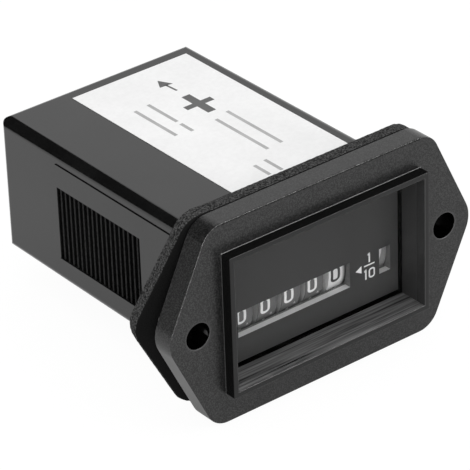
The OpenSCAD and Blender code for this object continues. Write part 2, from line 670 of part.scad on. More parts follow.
// Board across the rear of the case, on four posts, with its pieces on the front side
module circuit_board() color([0.1, 0.35, 0.18]) difference() {
    slab(board_w, [board_front, board_rear], board_h);
    for (sx = [-1, 1], sz = [-1, 1])
        rod_y(sx * board_post[0], sz * board_post[1], board_pin_r + fit_gap, board_front - cut,
            board_rear + cut);
    for (side = [-1, 1]) {
        translate([side * blade_spacing / 2, 0, 0])
            slab(blade_t + 2 * fit_gap, [board_front - cut, board_rear + cut], blade_w + 2 * fit_gap);
        rod_y(coil_axis[0], rotor_axis[1] + side * (coil_half - coil_flange_t / 2), post_r + fit_gap,
            board_front - cut, board_rear + cut);
    }
}
chip = [3.9, 1.4, 4.9];
chip_at = [-2.5, 0.5];
module driver_chip() color([0.12, 0.12, 0.13]) {
    lead_t = 0.25;
    lead_pitch = 1.27;
    lead_w = 0.4;
    lead_out = 1;
    translate([chip_at[0], 0, chip_at[1]]) {
        slab(chip[0], [board_front - chip[1] - lead_t / 2, board_front - lead_t / 2], chip[2]);
        for (i = [-1.5 : 1.5], side = [-1, 1]) translate([side * chip[0] / 2, 0, i * lead_pitch]) {
            slab(lead_t, [board_front - chip[1] / 2, board_front], lead_w);
            translate([side * lead_out / 2, 0, 0])
                slab(lead_out, [board_front - lead_t, board_front], lead_w);
        }
    }
}
module quartz_crystal() color([0.75, 0.76, 0.78]) {
    can_r = 1;
    can_l = 6;
    edge = 2.75;
    at = [chip_at[0] - can_l / 2, board_h / 2 - edge];
    along_x(at[0], [board_front - can_r, at[1]]) cylinder(r = can_r, h = can_l);
}
module capacitor() color([0.15, 0.2, 0.45]) {
    can_r = 3;
    can_l = 6;
    rise = 0.55;
    at = [-(board_w + blade_spacing) / 4, can_r - rise];
    rod_y(at[0], at[1], can_r, board_front - can_l, board_front);
}
// Small part lying on the board with a bent lead at each end
module axial_part(x, z, r, length) {
    lead_r = 0.25;
    lead_out = 1.2;
    mid_y = board_front - r;
    along_x(x - length / 2, [mid_y, z]) cylinder(r = r, h = length);
    for (side = [-1, 1]) {
        end = side * (length / 2 + lead_out);
        along_x(x + min(0, end), [mid_y, z]) cylinder(r = lead_r, h = abs(end));
        rod_y(x + end, z, lead_r, mid_y, board_front);
        translate([x + end, mid_y, z]) sphere(r = lead_r);
    }
}
// Height above the board's lower edge, radius and length
diode_size = [3.15, 0.9, 3.4];
resistor_size = [4.95, 0.7, 3.2];
module diode() color([0.15, 0.15, 0.15])
    axial_part(chip_at[0], diode_size[0] - board_h / 2, diode_size[1], diode_size[2]);
module resistor() color([0.6, 0.55, 0.45])
    axial_part(chip_at[0], resistor_size[0] - board_h / 2, resistor_size[1], resistor_size[2]);

// Blade terminal: stands in the board, bears on the rear wall with a shoulder, and ends in a blade
// with a chamfered tip and a locating hole
module terminal(side) color([0.75, 0.74, 0.7]) translate([side * blade_spacing / 2, 0, 0]) difference() {
    tip = 1;
    end = case_l + blade_l;
    half = blade_w / 2;
    union() {
        along_x(-blade_t / 2) linear_extrude(blade_t) polygon([[board_front - blade_front, -half],
            [end - tip, -half], [end, -half + tip], [end, half - tip], [end - tip, half],
            [board_front - blade_front, half]]);
        slab(blade_t, [board_rear, cavity_rear], blade_w + 2 * blade_shoulder);
    }
    rod_x([end - blade_l / 2, 0], blade_hole_r, -blade_t, blade_t);
}
module terminal_positive() terminal(1);
module terminal_negative() terminal(-1);

bezel();
lens();
dial_plate();
gasket();
case();
rating_label();
counter_frame();
bridge_plate();
bridge_screws();
wheel_shaft();
shaft_clip();
pinion_shaft();
number_wheel_tenths();
number_wheel_units();
number_wheel_tens();
number_wheel_hundreds();
number_wheel_thousands();
transfer_pinion_1();
transfer_pinion_2();
transfer_pinion_3();
transfer_pinion_4();
run_drum();
arbor_b();
gear_b();
run_gear();
arbor_a();
gear_a();
rotor_spindle();
rotor_magnet();
stator();
coil_core();
coil_bobbin();
coil_winding();
circuit_board();
driver_chip();
quartz_crystal();
capacitor();
diode();
resistor();
terminal_positive();
terminal_negative();
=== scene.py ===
import json
import math

import bmesh
import bpy
from mathutils import Matrix, Vector, noise


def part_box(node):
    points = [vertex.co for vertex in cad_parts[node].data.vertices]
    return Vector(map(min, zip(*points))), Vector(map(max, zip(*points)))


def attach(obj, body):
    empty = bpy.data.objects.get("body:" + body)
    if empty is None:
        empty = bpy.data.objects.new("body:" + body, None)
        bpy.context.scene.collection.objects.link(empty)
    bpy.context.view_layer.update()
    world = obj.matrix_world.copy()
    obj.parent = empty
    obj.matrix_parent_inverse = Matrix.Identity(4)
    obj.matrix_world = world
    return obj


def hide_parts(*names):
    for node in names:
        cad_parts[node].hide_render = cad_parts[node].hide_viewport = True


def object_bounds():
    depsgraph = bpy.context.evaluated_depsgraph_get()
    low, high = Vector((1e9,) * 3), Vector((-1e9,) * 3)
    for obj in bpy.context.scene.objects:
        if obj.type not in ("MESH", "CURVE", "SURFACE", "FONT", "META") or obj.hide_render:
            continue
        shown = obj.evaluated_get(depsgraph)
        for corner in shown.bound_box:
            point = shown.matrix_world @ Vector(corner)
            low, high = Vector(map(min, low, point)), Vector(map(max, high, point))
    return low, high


# Looks of the hour meter. Lengths in this file are millimetres until MM turns them into metres.
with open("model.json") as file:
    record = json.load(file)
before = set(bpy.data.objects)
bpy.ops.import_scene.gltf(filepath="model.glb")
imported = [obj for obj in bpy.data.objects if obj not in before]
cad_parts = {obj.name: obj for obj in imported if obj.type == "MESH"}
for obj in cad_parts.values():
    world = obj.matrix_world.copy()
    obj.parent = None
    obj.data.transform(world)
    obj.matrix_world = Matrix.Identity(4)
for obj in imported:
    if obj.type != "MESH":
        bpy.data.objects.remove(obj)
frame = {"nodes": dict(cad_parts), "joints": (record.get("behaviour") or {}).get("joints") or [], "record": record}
cad_low, cad_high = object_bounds()
node = frame["nodes"]
MM = 0.001


def corners(name):
    """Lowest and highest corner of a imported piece, in millimetres to three places."""
    return [[round(c / MM, 3) for c in corner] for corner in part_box(name)]


# Counter: the wheels' common axis and radius, the middle of each rim, how deep the dark print on a rim
# goes, and the left end of the run drum
AXIS = {joint["child"]: joint["pos_m"] for joint in frame["joints"]}
COUNTER_Y, COUNTER_Z = (c / MM for c in AXIS["wheel_units"][1:])
WHEEL_R = corners("number_wheel_units")[1][1] - COUNTER_Y
WHEEL_NAMES = ("tenths", "units", "tens", "hundreds", "thousands")
NUMERAL_X = {name: AXIS["wheel_" + name][0] / MM for name in WHEEL_NAMES}
PRINT_DEPTH = 0.08
DRUM_LEFT = 13.575

# Dial: its two faces, how far back the sill under its windows stays bare, the windows themselves, the
# wall past the run drum's end, and where painted light makes the print paler to the right and below
DIAL_FRONT, DIAL_REAR = (y for x, y, z in corners("dial_plate"))
SILL_BACK = 1.65
WINDOW_Z = (-6.525, -2.315)
COUNTER_WINDOW_X = (-12.69, 8.31)
RUN_WINDOW_X = (13.94, 16.08)
RUN_END_WALL_X, RUN_END_WALL_BACK = (16.28, 16.45), 3.6
PAINTED_LIGHT_X, PAINTED_LIGHT_Z = (9, 17.5), (-5, -8)

# Bezel: limits of its finishes and of its painted light and shade, its screw holes with the zone of
# painted shade round each, and the rounds of its outline
FLANGE_FRONT = -3.7
WINDOW_WALL_X, WINDOW_WALL_Z = 17.7, 10.8
TOP_EDGE_Y, TOP_EDGE_Z = -3.38, 16.12
MOUNTS = {mount["name"]: mount["dims"] for mount in frame["record"]["mounts"]}
SCREW_X = MOUNTS["panel_screws"]["spacing_x_mm"] / 2
SCREW_HOLE_R = 2.3
HOLE_EDGE_R = (2.06, 2.12)
TIP_R = 4.9
CORNER_X, CORNER_R = 18.2, 3.8
CORNER_Z = corners("bezel")[1][2] - CORNER_R

# Case: where its rear corners turn round, the slotted pockets on each side, which painted shade darkens, and the
# label on top
CASE_HALF_W = 18
CASE_ROUND_R = 1.5
CASE_REAR, CASE_TOP = corners("case")[1][1:]
CASE_ROUND_FROM = (CASE_HALF_W - CASE_ROUND_R, CASE_REAR - CASE_ROUND_R, CASE_TOP - CASE_ROUND_R)
POCKET_X, POCKET_Y, POCKET_Z = (17.88, 18.1), (15.9, 36.3), (-6.95, 5.35)
LABEL_TOP = corners("rating_label")[1][2]

# Foam: the two rounds that depart from the flange's outline, each with its radius, then its thickness,
# holes and place, the fineness of its mesh, its ripple, which a fixed seed repeats in every run, and the
# line it bends about, how steeply and how softly
FOAM_CORNER = (-18.9, -11.4, 3.8)
FOAM_TIP = (-23.2, -0.4, 4.9)
FOAM_T = 2.2
FOAM_HOLE_R, FOAM_HOLE_POINTS = 1.7, 60
FOAM_OPENING = (18.65, 11.75)
FOAM_SHIFT = -0.35
FOAM_GAP = 0.2
FOAM_VOXEL = 0.25
FOAM_RIPPLE, RIPPLES_PER_MM, RIPPLE_SEED = 0.05, 1.9, 1
BEND_POINT, BEND_SLOPE = (-19.5, 16), math.radians(78.2)
BEND_RATE, BEND_SOFT = 0.314, 2.0

# Ink films: how far the middle of each lies off its surface, and how thick it is
WHEEL_INK = (0.012, 0.02)
DIAL_INK = (0.01, 0.008)
LABEL_INK = (0.006, 0.01)


# Node trees

def add(tree, kind, inputs=None, **settings):
    """A new node, with plain values or links for its inputs."""
    made = tree.nodes.new(kind)
    for name, value in settings.items():
        setattr(made, name, value)
    for key, value in (inputs or {}).items():
        if isinstance(value, bpy.types.NodeSocket):
            tree.links.new(value, made.inputs[key])
        else:
            made.inputs[key].default_value = value
    return made


def calc(tree, operation, *values):
    """The result of a sum on numbers."""
    return add(tree, "ShaderNodeMath", dict(enumerate(values)), operation=operation).outputs[0]


def vector_calc(tree, operation, *values):
    """The result of a sum on vectors."""
    made = add(tree, "ShaderNodeVectorMath", dict(enumerate(values)), operation=operation)
    return made.outputs["Value" if operation in ("LENGTH", "DOT_PRODUCT") else "Vector"]


def blend_colours(tree, share, dark, light):
    """A colour between two others."""
    return add(tree, "ShaderNodeMix", {0: share, 6: dark, 7: light}, data_type="RGBA").outputs[2]


def blend_numbers(tree, share, first, second):
    """A number between two others."""
    return add(tree, "ShaderNodeMix", {0: share, 2: first, 3: second}).outputs[0]


def remap(tree, value, low, high, to_low, to_high):
    """A value stretched from one range to another, and held inside it."""
    made = add(tree, "ShaderNodeMapRange", {0: value, 1: low, 2: high, 3: to_low, 4: to_high})
    return made.outputs[0]


def inside(tree, value, low, high):
    """Mask of the places where a value lies between two limits."""
    above = calc(tree, "GREATER_THAN", value, low)
    below = calc(tree, "LESS_THAN", value, high)
    return calc(tree, "MULTIPLY", above, below)


def surface_point(tree):
    """The place of a surface point in the part's frame."""
    return add(tree, "ShaderNodeTexCoord").outputs["Object"]


def coordinates(tree, kind="Object"):
    """The x, y and z of a surface point's place, or of its normal."""
    vector = add(tree, "ShaderNodeTexCoord").outputs[kind]
    return add(tree, "ShaderNodeSeparateXYZ", {0: vector}).outputs


def new_group(name, inputs, outputs):
    """An empty shader node group with float outputs, and float or vector inputs."""
    tree = bpy.data.node_groups.new(name, "ShaderNodeTree")
    for label, value in inputs:
        kind = "NodeSocketVector" if isinstance(value, tuple) else "NodeSocketFloat"
        socket = tree.interface.new_socket(label, in_out="INPUT", socket_type=kind)
        socket.default_value = value
    for label in outputs:
        tree.interface.new_socket(label, in_out="OUTPUT", socket_type="NodeSocketFloat")
    start = tree.nodes.new("NodeGroupInput")
    end = tree.nodes.new("NodeGroupOutput")
    return tree, start.outputs, end.inputs


def make_grain_group():
    """Fine spark-eroded mould grain, with a slow drift of tone under it."""
    tree, start, end = new_group("mould_grain", [("Grain", 3000), ("Drift", 90)],
                                 ["Height", "Tone", "Speck"])
    place = surface_point(tree)
    fine = add(tree, "ShaderNodeTexNoise", {"Vector": place, "Scale": start["Grain"], "Detail": 3,
                                            "Roughness": 0.6}).outputs[0]
    slow = add(tree, "ShaderNodeTexNoise", {"Vector": place, "Scale": start["Drift"],
                                            "Detail": 2}).outputs[0]
    both = calc(tree, "ADD", fine, slow)
    tree.links.new(remap(tree, fine, 0.25, 0.75, 0, 1), end["Height"])
    tree.links.new(remap(tree, both, 0.7, 1.3, 0, 1), end["Tone"])
    tree.links.new(remap(tree, fine, 0.44, 0.62, 0, 1), end["Speck"])
    return tree


def make_edge_group():
    """Mask of the outer edges, where a moulded or cut piece is rubbed."""
    tree, start, end = new_group("rubbed_edge", [("Width", 0.0002), ("Break up", 900)], ["Mask"])
    round_normal = add(tree, "ShaderNodeBevel", {"Radius": start["Width"]}, samples=6).outputs[0]
    flat_normal = add(tree, "ShaderNodeNewGeometry").outputs["Normal"]
    turn = vector_calc(tree, "DOT_PRODUCT", round_normal, flat_normal)
    edge = remap(tree, turn, 0.995, 0.86, 0, 1)
    worn = add(tree, "ShaderNodeTexNoise", {"Vector": surface_point(tree), "Scale": start["Break up"],
                                            "Detail": 2}).outputs[0]
    broken = remap(tree, worn, 0.3, 0.6, 0.35, 1)
    tree.links.new(calc(tree, "MULTIPLY", edge, broken), end["Mask"])
    return tree


def make_line_group():
    """Fine lines in one direction, as turning, rolling or polishing leaves them."""
    tree, start, end = new_group("fine_lines", [("Lines", 9000), ("Across", (1, 0.04, 0.04))],
                                 ["Height", "Tone"])
    squeezed = vector_calc(tree, "MULTIPLY", surface_point(tree), start["Across"])
    lines = add(tree, "ShaderNodeTexNoise", {"Vector": squeezed, "Scale": start["Lines"],
                                             "Detail": 2}).outputs[0]
    tree.links.new(remap(tree, lines, 0.3, 0.7, 0, 1), end["Height"])
    tree.links.new(remap(tree, lines, 0.2, 0.8, 0, 1), end["Tone"])
    return tree


GRAIN = make_grain_group()
EDGE = make_edge_group()
LINES = make_line_group()


def use_group(tree, group, **values):
    """A shared effect placed in a material, with its own values."""
    made = tree.nodes.new("ShaderNodeGroup")
    made.node_tree = group
    for label, value in values.items():
        made.inputs[label].default_value = value
    return made.outputs


# Finishes

def grey(level, tint=(1, 1, 1)):
    """A grey of that brightness, or a tinted one."""
    return tuple(level * t for t in tint) + (1,)


def new_material(name, **constants):
    """A material with one Principled shader, its constant sockets set directly."""
    made = bpy.data.materials.new(name)
    made.use_nodes = True
    tree = made.node_tree
    shader = tree.nodes["Principled BSDF"]
    for label, value in constants.items():
        shader.inputs[label.replace("_", " ")].default_value = value
    return made, tree, shader


def set_look(tree, shader, colour, rough):
    """Links a material's colour and roughness."""
    tree.links.new(colour, shader.inputs["Base Color"])
    tree.links.new(rough, shader.inputs["Roughness"])


def raise_surface(tree, shader, height, strength, depth):
    """Fine relief of the surface."""
    bump = add(tree, "ShaderNodeBump", {"Strength": strength, "Distance": depth * MM, "Height": height})
    tree.links.new(bump.outputs[0], shader.inputs["Normal"])


def plastic(name, dark, light, rough, grain=3000, bump=0.2):
    """Moulded plastic: grain in the surface and a drift of tone."""
    made, tree, shader = new_material(name)
    skin = use_group(tree, GRAIN, Grain=grain)
    colour = blend_colours(tree, skin["Tone"], dark, light)
    set_look(tree, shader, colour, remap(tree, skin["Tone"], 0, 1, *rough))
    raise_surface(tree, shader, skin["Height"], bump, 0.02)
    return made


def bezel_plastic():
    """Fine grain on the flange, a polished rim, window walls lighter with painted light, painted sheen in streaks
    along the lower one.
    """
    made, tree, shader = new_material("bezel_plastic", IOR=1.42)
    skin = use_group(tree, GRAIN, Grain=5200)
    strokes = use_group(tree, LINES, Lines=2600, Across=(0.03, 1, 1))
    place = coordinates(tree)
    flange = calc(tree, "GREATER_THAN", place[1], FLANGE_FRONT * MM)
    wide = inside(tree, place[0], -WINDOW_WALL_X * MM, WINDOW_WALL_X * MM)
    tall = inside(tree, place[2], -WINDOW_WALL_Z * MM, WINDOW_WALL_Z * MM)
    wall = calc(tree, "MULTIPLY", wide, tall)
    upward = calc(tree, "GREATER_THAN", coordinates(tree, "Normal")[2], 0.9)
    from_screw = calc(tree, "SUBTRACT", calc(tree, "ABSOLUTE", place[0]), SCREW_X * MM)
    spoke = add(tree, "ShaderNodeCombineXYZ", {0: from_screw, 2: place[2]}).outputs[0]
    radius = vector_calc(tree, "LENGTH", spoke)
    hole_zone_painted_shade = calc(tree, "LESS_THAN", radius, SCREW_HOLE_R * MM)
    high = calc(tree, "GREATER_THAN", place[2], TOP_EDGE_Z * MM)
    near = calc(tree, "LESS_THAN", place[1], TOP_EDGE_Y * MM)
    top_edge_painted_shade = calc(tree, "MULTIPLY", high, near)

    speckle = blend_colours(tree, skin["Speck"], grey(0), grey(0.034))
    # Painted shade: the screw holes and a ring round each are near black
    grain = blend_colours(tree, hole_zone_painted_shade, speckle, grey(0.001))
    polished = blend_colours(tree, skin["Tone"], grey(0.001), grey(0.003))
    # Painted light: the window walls are lighter than the flange, against the shade within the window
    dull = blend_colours(tree, skin["Tone"], grey(0.041), grey(0.053))
    # Painted sheen: light streaks along the lower window wall
    painted_sheen_streaks = blend_colours(tree, strokes["Height"], grey(0.008), grey(0.26))
    outer = blend_colours(tree, flange, polished, grain)
    walls_in_painted_light = blend_colours(tree, upward, dull, painted_sheen_streaks)
    body = blend_colours(tree, wall, outer, walls_in_painted_light)
    # Painted shade: a dark band along the flange's top front edge, broken by specks that reflect a little
    broken = blend_colours(tree, skin["Speck"], grey(0.008), grey(0.05))
    colour = blend_colours(tree, top_edge_painted_shade, body, broken)

    matt = remap(tree, skin["Tone"], 0, 1, 0.28, 0.36)
    gloss = remap(tree, skin["Tone"], 0, 1, 0.12, 0.18)
    smooth = blend_numbers(tree, flange, gloss, matt)
    hole_edge = remap(tree, radius, HOLE_EDGE_R[0] * MM, HOLE_EDGE_R[1] * MM, 0.1, 0.6)
    set_look(tree, shader, colour, blend_numbers(tree, hole_zone_painted_shade, smooth, hole_edge))
    # The band's dark metallic face takes its reflection away, as painted shade
    tree.links.new(remap(tree, top_edge_painted_shade, 0, 1, 0, 0.9), shader.inputs["Metallic"])
    raise_surface(tree, shader, skin["Height"], 0.12, 0.01)
    return made


def case_plastic():
    """Polished black plastic, left dull from the mould in the slotted pockets, which painted shade also darkens.
    """
    made, tree, shader = new_material("case_plastic", IOR=1.52)
    skin = use_group(tree, GRAIN, Grain=2600)
    place = coordinates(tree)
    beside = inside(tree, calc(tree, "ABSOLUTE", place[0]), POCKET_X[0] * MM, POCKET_X[1] * MM)
    along = inside(tree, place[1], POCKET_Y[0] * MM, POCKET_Y[1] * MM)
    level = inside(tree, place[2], POCKET_Z[0] * MM, POCKET_Z[1] * MM)
    pocket_painted_shade = calc(tree, "MULTIPLY", calc(tree, "MULTIPLY", beside, along), level)
    clean = blend_colours(tree, skin["Tone"], grey(0.004), grey(0.009))
    polish = remap(tree, skin["Tone"], 0, 1, 0.13, 0.18)
    dull = remap(tree, skin["Speck"], 0, 1, 0.6, 1)
    # Painted shade: the slotted pockets are darker, and a dark metallic mix takes most of their reflection away
    set_look(tree, shader, blend_colours(tree, pocket_painted_shade, clean, grey(0.002)),
             blend_numbers(tree, pocket_painted_shade, polish, dull))
    tree.links.new(remap(tree, pocket_painted_shade, 0, 1, 0, 0.8), shader.inputs["Metallic"])
    raise_surface(tree, shader, skin["Height"], 0.05, 0.02)
    return made


def printed_wheel(name, bare, middle=None, half_bare=1.2, half_fade=1.75, reach=4):
    """Moulded wheel, its rim with dark print: all over, or on both sides of a bare middle; its light sides within
    the rim are painted light against the shade between wheels.
    """
    made, tree, shader = new_material(name)
    skin = use_group(tree, GRAIN, Grain=2400)
    place = coordinates(tree)
    out_y = calc(tree, "SUBTRACT", place[1], COUNTER_Y * MM)
    out_z = calc(tree, "SUBTRACT", place[2], COUNTER_Z * MM)
    out = add(tree, "ShaderNodeCombineXYZ", {1: out_y, 2: out_z}).outputs[0]
    share = calc(tree, "GREATER_THAN", vector_calc(tree, "LENGTH", out), (WHEEL_R - PRINT_DEPTH) * MM)
    if middle is not None:
        beside = calc(tree, "ABSOLUTE", calc(tree, "SUBTRACT", place[0], middle * MM))
        fade = remap(tree, beside, half_bare * MM, half_fade * MM, 0, 1)
        near = calc(tree, "LESS_THAN", beside, reach * MM)
        share = calc(tree, "MULTIPLY", calc(tree, "MULTIPLY", fade, near), share)
    # Painted light: the wheel's sides within the rim are light, against the shade in the gaps between wheels; a
    # white wheel's bare middle shares this colour
    pale_and_painted_light = blend_colours(tree, skin["Tone"], grey(bare), grey(1.1 * bare))
    dark = blend_colours(tree, skin["Tone"], grey(0.125), grey(0.155))
    set_look(tree, shader, blend_colours(tree, share, pale_and_painted_light, dark),
             remap(tree, skin["Tone"], 0, 1, 0.45, 0.55))
    raise_surface(tree, shader, skin["Height"], 0.08, 0.02)
    return made


def metal(name, dark, light, rough, lines=9000, bump=0.15):
    """Turned or rolled metal with fine lines."""
    made, tree, shader = new_material(name, Metallic=1)
    skin = use_group(tree, LINES, Lines=lines)
    colour = blend_colours(tree, skin["Tone"], dark, light)
    set_look(tree, shader, colour, remap(tree, skin["Tone"], 0, 1, *rough))
    raise_surface(tree, shader, skin["Height"], bump, 0.005)
    return made


def clear_lens():
    """Clear moulded window: glass to the rays that look through it, open to the light that falls in."""
    made, tree, shader = new_material("lens_clear", Metallic=0, Transmission_Weight=1, IOR=1,
                                      Roughness=0)
    haze = use_group(tree, GRAIN, Grain=700, Drift=60)
    tint = blend_colours(tree, haze["Tone"], grey(0.985), grey(1))
    tree.links.new(tint, shader.inputs["Base Color"])
    through = add(tree, "ShaderNodeBsdfTransparent")
    rays = add(tree, "ShaderNodeLightPath").outputs
    looks = calc(tree, "MAXIMUM", rays["Is Camera Ray"], rays["Is Transmission Ray"])
    mix = add(tree, "ShaderNodeMixShader", {0: looks, 1: through.outputs[0], 2: shader.outputs[0]})
    tree.links.new(mix.outputs[0], tree.nodes["Material Output"].inputs[0])
    return made


def dial_face():
    """Light plastic plate with black print on its front and thin print over the windows' side walls; painted light
    on the front's right and lower parts.
    """
    made, tree, shader = new_material("dial_black", Specular_IOR_Level=0.2)
    skin = use_group(tree, GRAIN, Grain=2200)
    place = coordinates(tree)
    facing = coordinates(tree, "Normal")
    # Painted light: the print turns lighter to the right and below, where the bezel's walls shade the dial
    right = remap(tree, place[0], PAINTED_LIGHT_X[0] * MM, PAINTED_LIGHT_X[1] * MM, 0, 0.6)
    low = remap(tree, place[2], PAINTED_LIGHT_Z[0] * MM, PAINTED_LIGHT_Z[1] * MM, 0, 0.35)
    black = blend_colours(tree, skin["Tone"], grey(0.053), grey(0.056))
    print_and_painted_light = blend_colours(tree, calc(tree, "ADD", right, low), black, grey(0.09))
    bare = blend_colours(tree, skin["Tone"], grey(0.78), grey(0.86))
    thin = blend_colours(tree, skin["Tone"], grey(0.16), grey(0.22))
    behind = calc(tree, "GREATER_THAN", place[1], SILL_BACK * MM)
    sill = blend_colours(tree, behind, bare, thin)
    wall = blend_colours(tree, calc(tree, "GREATER_THAN", facing[2], 0.5), thin, sill)
    front = calc(tree, "LESS_THAN", facing[1], -0.5)
    set_look(tree, shader, blend_colours(tree, front, wall, print_and_painted_light),
             remap(tree, skin["Tone"], 0, 1, 0.5, 0.6))
    raise_surface(tree, shader, skin["Height"], 0.02, 0.01)
    return made


def foam_rubber():
    """Closed-cell foam: a smooth black skin on both faces, open cells along the cut edges."""
    made, tree, shader = new_material("foam_gasket", Specular_IOR_Level=0.04)
    place = surface_point(tree)
    cells = add(tree, "ShaderNodeTexVoronoi", {"Vector": place, "Scale": 6200}).outputs["Distance"]
    clumps = add(tree, "ShaderNodeTexNoise", {"Vector": place, "Scale": 3800, "Detail": 3}).outputs[0]
    walls = remap(tree, cells, 0.2, 0.62, 0, 1)
    lumps = remap(tree, clumps, 0.38, 0.62, 0, 1)
    both = calc(tree, "MULTIPLY", walls, lumps)
    cut_edge = blend_colours(tree, both, grey(0.006), grey(0.11))
    skin = blend_colours(tree, both, grey(0.001), grey(0.004))
    across = calc(tree, "ABSOLUTE", coordinates(tree, "Normal")[1])
    face = remap(tree, across, 0.6, 0.75, 0, 1)
    set_look(tree, shader, blend_colours(tree, face, cut_edge, skin), remap(tree, both, 0, 1, 0.85, 1))
    raise_surface(tree, shader, both, 0.7, 0.06)
    return made


def label_vinyl():
    """White vinyl with a faint fibre drift and greyer rubbed edges."""
    made, tree, shader = new_material("label_paper", IOR=1.4)
    skin = use_group(tree, GRAIN, Grain=1500, Drift=120)
    rubbed = use_group(tree, EDGE, Width=0.15 * MM)["Mask"]
    clean = blend_colours(tree, skin["Tone"], grey(0.86), grey(0.93))
    set_look(tree, shader, blend_colours(tree, rubbed, clean, grey(0.7)),
             remap(tree, skin["Tone"], 0, 1, 0.4, 0.5))
    raise_surface(tree, shader, skin["Height"], 0.05, 0.01)
    return made


def ink(name, dark, light):
    """Printed ink, a little uneven in cover."""
    made, tree, shader = new_material(name)
    skin = use_group(tree, GRAIN, Grain=5000, Drift=400)
    colour = blend_colours(tree, skin["Tone"], grey(dark), grey(light))
    set_look(tree, shader, colour, remap(tree, skin["Tone"], 0, 1, 0.45, 0.6))
    return made


def wound_wire():
    """Enamelled copper wire, laid in close turns up the coil."""
    made, tree, shader = new_material("copper_wire", Metallic=0.85)
    wave = add(tree, "ShaderNodeTexWave", {"Vector": surface_point(tree), "Scale": 1300,
                                           "Distortion": 0.6, "Detail": 1}, bands_direction="Z")
    turns = wave.outputs[1]
    colour = blend_colours(tree, turns, (0.18, 0.05, 0.02, 1), (0.62, 0.24, 0.08, 1))
    set_look(tree, shader, colour, remap(tree, turns, 0, 1, 0.45, 0.28))
    raise_surface(tree, shader, turns, 0.6, 0.05)
    return made


def solder_mask():
    """Green board with slightly raised tracks under the mask and woven glass below."""
    made, tree, shader = new_material("board_green", Coat_Weight=0.3)
    tracks = add(tree, "ShaderNodeTexBrick", {"Vector": surface_point(tree), "Scale": 210,
                                              "Mortar Size": 0.012}).outputs["Fac"]
    weave = use_group(tree, GRAIN, Grain=1600)
    base = blend_colours(tree, weave["Tone"], (0.008, 0.06, 0.02, 1), (0.014, 0.1, 0.035, 1))
    set_look(tree, shader, blend_colours(tree, tracks, base, (0.03, 0.2, 0.07, 1)),
             remap(tree, weave["Tone"], 0, 1, 0.3, 0.42))
    raise_surface(tree, shader, tracks, 0.4, 0.03)
    return made


def banded(name, ground, stripe, count, share):
    """A sleeve or body with plain bands across its length."""
    made, tree, shader = new_material(name)
    skin = use_group(tree, GRAIN, Grain=2500)
    tooth = calc(tree, "FRACT", calc(tree, "MULTIPLY", coordinates(tree)[0], count))
    band = calc(tree, "LESS_THAN", tooth, share)
    shade = blend_colours(tree, skin["Tone"], ground, tuple(1.2 * c for c in ground[:3]) + (1,))
    set_look(tree, shader, blend_colours(tree, band, shade, stripe),
             remap(tree, skin["Tone"], 0, 1, 0.35, 0.5))
    return made


WARM = (1, 0.95, 0.84)
FINISH = {
    "bezel_plastic": bezel_plastic(),
    "lens_clear": clear_lens(),
    "dial_black": dial_face(),
    "foam_gasket": foam_rubber(),
    "case_plastic": case_plastic(),
    "label_paper": label_vinyl(),
    "frame_plastic": plastic("frame_plastic", grey(0.5, WARM), grey(0.6, WARM), (0.4, 0.5)),
    "brass": metal("brass", (0.62, 0.42, 0.16, 1), (0.8, 0.58, 0.26, 1), (0.25, 0.38)),
    "steel": metal("steel", grey(0.5), grey(0.68), (0.22, 0.34)),
    "wheel_white": printed_wheel("wheel_white", 0.78, NUMERAL_X["tenths"]),
    "wheel_black": printed_wheel("wheel_black", 0.5),
    "pinion_plastic": plastic("pinion_plastic", grey(0.66, WARM), grey(0.76, WARM), (0.35, 0.45)),
    "magnet": plastic("magnet", grey(0.03), grey(0.05), (0.45, 0.6), 4000, 0.3),
    "core_iron": metal("core_iron", grey(0.36), grey(0.5), (0.35, 0.5), 3000),
    "bobbin_plastic": plastic("bobbin_plastic", (0.02, 0.05, 0.035, 1), (0.03, 0.08, 0.05, 1),
                              (0.4, 0.5)),
    "copper_wire": wound_wire(),
    "board_green": solder_mask(),
    "chip_black": plastic("chip_black", grey(0.012), grey(0.022), (0.5, 0.62), 3600, 0.25),
    "capacitor_sleeve": banded("capacitor_sleeve", (0.02, 0.035, 0.14, 1), grey(0.6), 150, 0.2),
    "resistor_tan": banded("resistor_tan", (0.42, 0.3, 0.16, 1), (0.2, 0.02, 0.01, 1), 1300, 0.3),
    "tinned_brass": metal("tinned_brass", grey(0.62, (1, 0.98, 0.93)), grey(0.8, (1, 0.98, 0.94)),
                          (0.2, 0.36), 5000, 0.1),
}
INK_WHITE = ink("ink_white", 0.9, 0.97)
INK_BLACK = ink("ink_black", 0.03, 0.06)
INK_GREY = ink("ink_grey", 0.3, 0.4)
INK_MARK = ink("ink_mark", 0.5, 0.58)
INK_LABEL = ink("ink_label", 0.055, 0.075)
INK_LINES = ink("ink_lines", 0.36, 0.44)

# Finishes of the carried-over pieces, from the record's slots
for row in frame["record"]["subparts"]:
    for place in node[row["node"]].material_slots:
        place.material = FINISH[row["material_slot"]]


# Edges of the carried-over pieces: how near points are joined, up to which angle faces count as one, and
# from which angle edges are rounded
JOIN_WITHIN = 0.001
LEVEL_ANGLE, SHARP_ANGLE = math.radians(1), math.radians(32)


def soften(name, width, segments=2):
    """Rounds the sharp edges of a carried-over piece a little."""
    obj = node[name]
    weld = obj.modifiers.new("join", "WELD")
    weld.merge_threshold = JOIN_WITHIN * MM
    flat = obj.modifiers.new("whole_faces", "DECIMATE")
    flat.decimate_type = "DISSOLVE"
    flat.angle_limit = LEVEL_ANGLE
    bevel = obj.modifiers.new("soft_edge", "BEVEL")
    bevel.width = width * MM
    bevel.segments = segments
    bevel.limit_method = "ANGLE"
    bevel.angle_limit = SHARP_ANGLE
    even = obj.modifiers.new("flat_faces", "WEIGHTED_NORMAL")
    even.weight = 100
    return obj


